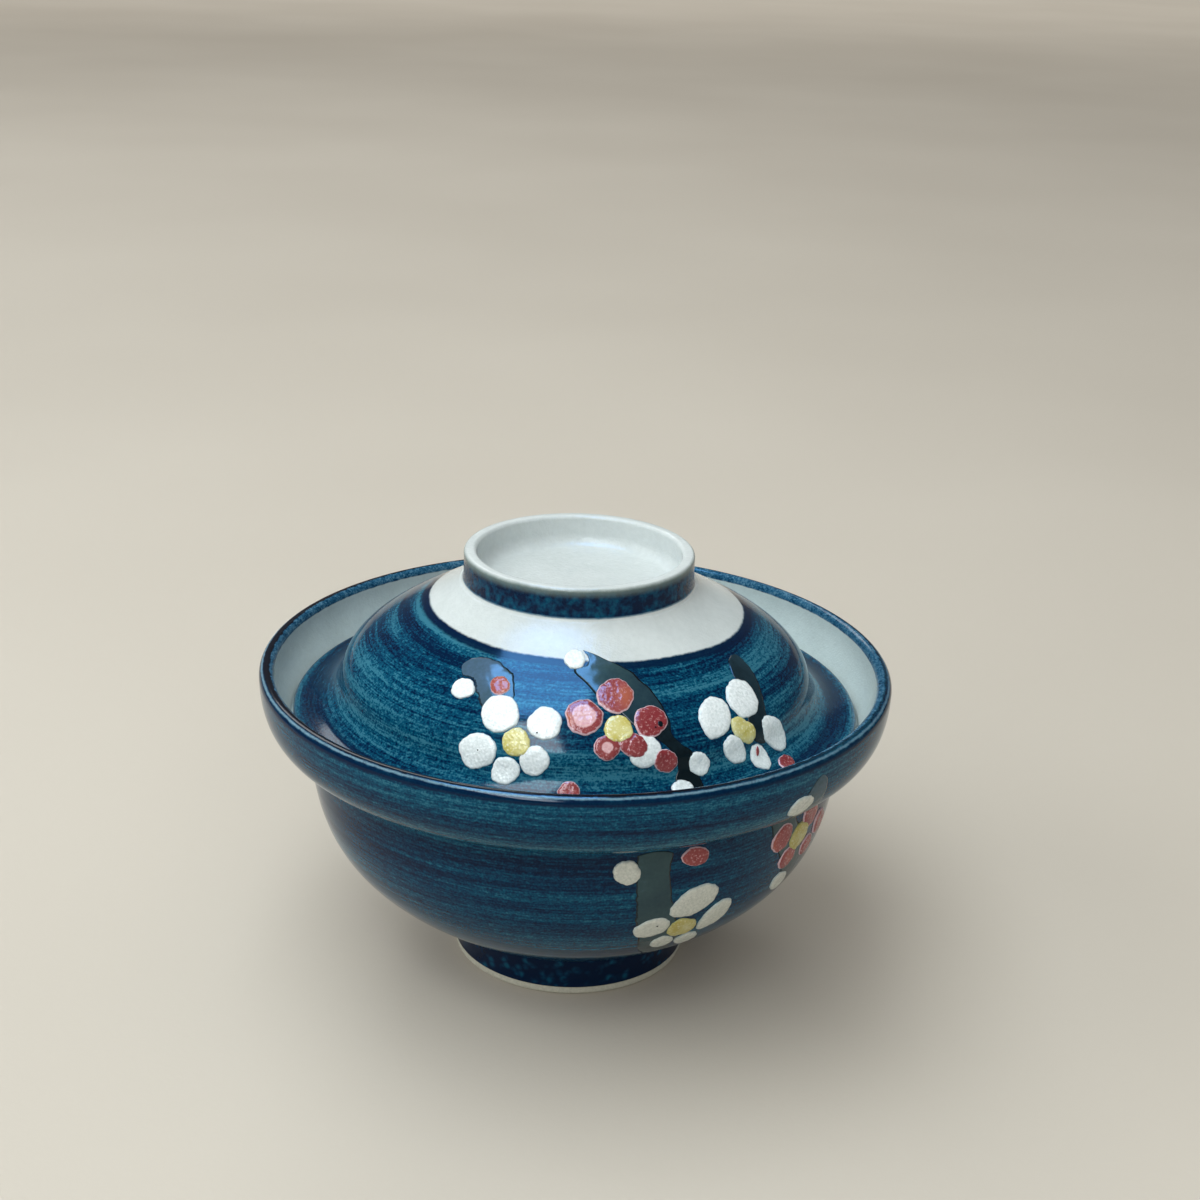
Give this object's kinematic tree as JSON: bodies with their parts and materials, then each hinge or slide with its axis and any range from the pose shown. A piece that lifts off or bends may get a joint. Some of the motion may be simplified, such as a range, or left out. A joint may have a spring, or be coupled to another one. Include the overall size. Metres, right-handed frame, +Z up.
{
  "type": "lidded donburi bowl",
  "caption": "Round lidded rice bowl with a flared rim that the domed lid drops into, a foot ring, a ring handle, blue brushed glaze and plum blossom in raised enamel.",
  "frame": {"origin": "centre of the foot ring's resting face, on the surface the bowl stands on", "axes": "+Z up along the axis the bowl and lid are turned on, towards the lid's ring; -Y towards the front, where the main sprays of blossom are; +X to the right seen from the front"},
  "size_m": [0.15, 0.15, 0.1033],
  "materials": {
    "blue_glaze": "gloss blue-green glaze over pale porcelain, with brushed darker rings and fine speckle",
    "branch_enamel": "thin glossy grey-black overglaze enamel",
    "white_enamel": "thick raised white overglaze enamel, slightly grainy",
    "red_enamel": "thick raised red overglaze enamel with a pale edge",
    "yellow_enamel": "thick raised yellow overglaze enamel, slightly grainy"
  },
  "bodies": {
    "bowl": {"bowl": "blue_glaze", "bowl_branches": "branch_enamel", "bowl_white_petals": "white_enamel", "bowl_red_petals": "red_enamel", "bowl_yellow_centres": "yellow_enamel"},
    "lid": {"lid": "blue_glaze", "lid_branches": "branch_enamel", "lid_white_petals": "white_enamel", "lid_red_petals": "red_enamel", "lid_yellow_centres": "yellow_enamel"}
  },
  "joints": [
    {"name": "lid_lift", "type": "slide", "parent": "bowl", "child": "lid", "axis": [0, 0, 1], "range_m": [0, 0.08]}
  ]
}
